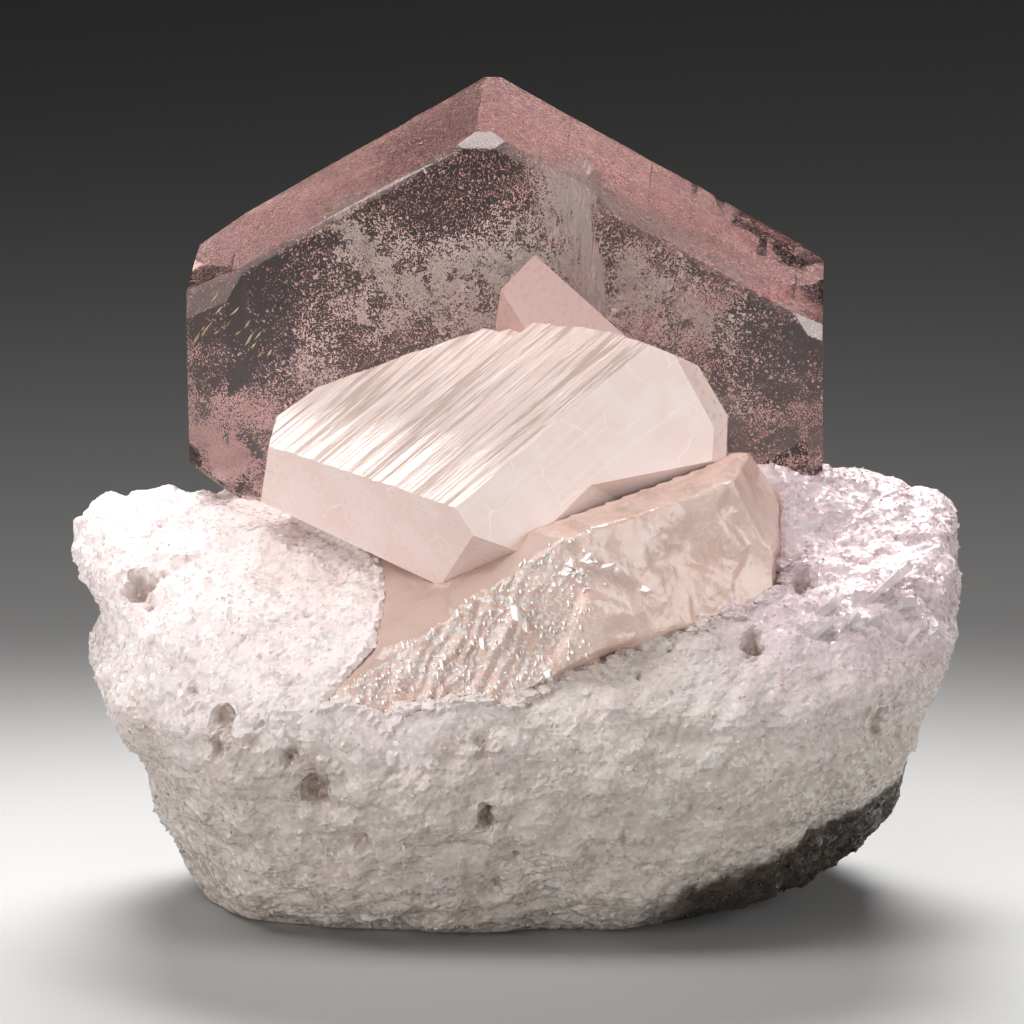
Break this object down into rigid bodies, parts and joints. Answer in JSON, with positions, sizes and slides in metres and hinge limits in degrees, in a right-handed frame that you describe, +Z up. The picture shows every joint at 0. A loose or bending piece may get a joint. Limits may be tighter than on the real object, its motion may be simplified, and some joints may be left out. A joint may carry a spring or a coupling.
{
  "type": "morganite crystal specimen on matrix",
  "caption": "Tabular rose-pink beryl crystal standing in white granular rock, with a striated peach crystal across its foot and a broken crystal below, all grown into one another.",
  "frame": {"origin": "middle of the base of the box that the specimen fills, on the surface that it rests on", "axes": "+X to the right as the specimen is looked at, +Y to its back, +Z up"},
  "size_m": [0.0986, 0.0658, 0.0868],
  "materials": {
    "rose_beryl": "clear to milky, flat growth faces, striated and broken below",
    "white_rock": "rough, sugary grain"
  },
  "bodies": {
    "root": {"crystals": "rose_beryl", "matrix": "white_rock"}
  },
  "joints": []
}
